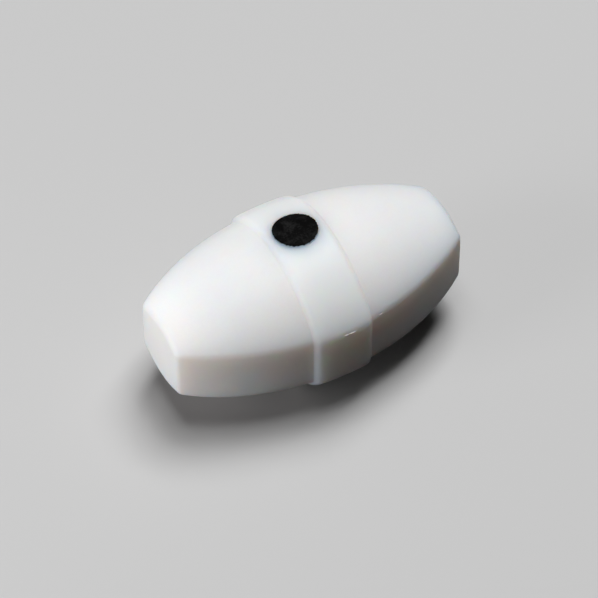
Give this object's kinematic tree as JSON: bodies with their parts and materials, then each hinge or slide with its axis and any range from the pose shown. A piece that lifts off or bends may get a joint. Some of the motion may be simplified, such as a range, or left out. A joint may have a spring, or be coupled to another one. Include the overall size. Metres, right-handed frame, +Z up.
{
  "type": "magnetic stir bar",
  "caption": "White oval magnetic stir bar with crowned faces, flat upright side walls and ends, a raised pivot ring round its middle and a black marker disc in its top.",
  "frame": {"origin": "lowest point of the pivot ring, on which the bar rests and spins, under the middle of the bar", "axes": "+X along the bar, +Y across it towards the side that the marker disc is nearer to, +Z up through the marker disc"},
  "size_m": [0.05, 0.0292, 0.0263],
  "materials": {
    "ptfe_white": "satin white moulded fluoropolymer, slightly translucent at its edges",
    "magnet_grey": "ground sintered rare-earth magnet, dull grey",
    "marker_black": "matt black filled plastic, slightly mottled"
  },
  "bodies": {
    "root": {"ptfe_jacket": "ptfe_white", "magnet_core": "magnet_grey", "marker_disc": "marker_black"}
  },
  "joints": []
}
